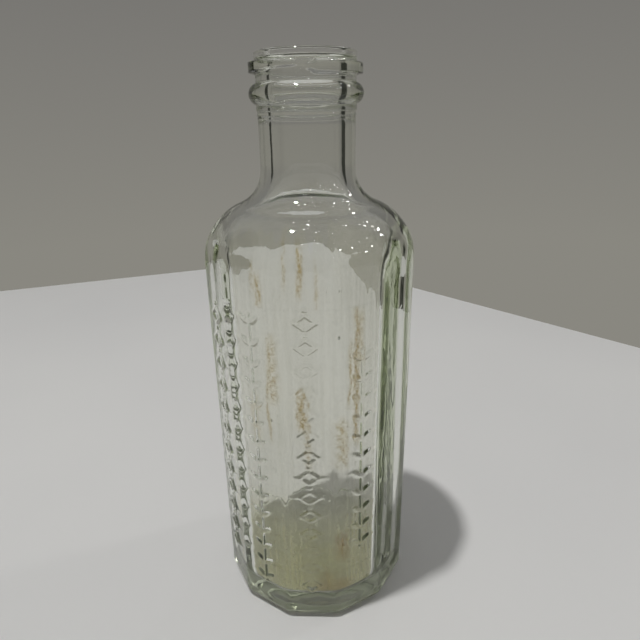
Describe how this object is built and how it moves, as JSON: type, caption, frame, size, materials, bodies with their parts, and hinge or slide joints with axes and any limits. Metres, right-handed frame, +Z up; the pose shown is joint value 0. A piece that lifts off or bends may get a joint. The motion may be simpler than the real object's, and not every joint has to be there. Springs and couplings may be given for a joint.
{
  "type": "glass medicine bottle",
  "caption": "Empty twelve-sided glass bottle with a domed shoulder, round neck, screw finish, raised ornament on its panels and dried residue inside.",
  "frame": {"origin": "centre of the base, on the table the bottle stands on", "axes": "+Z up along the neck, -Y out of the middle ornamented panel, +X to the right of that panel as seen from in front"},
  "size_m": [0.0575, 0.0575, 0.159],
  "materials": {
    "glass": "clear pale aqua, slightly wavy",
    "stain": "thin translucent dried film, brown",
    "dregs": "thin translucent dried film, amber"
  },
  "bodies": {
    "root": {"glass_bottle": "glass", "shoulder_stain": "stain", "wall_stain": "stain", "dregs": "dregs"}
  },
  "joints": []
}
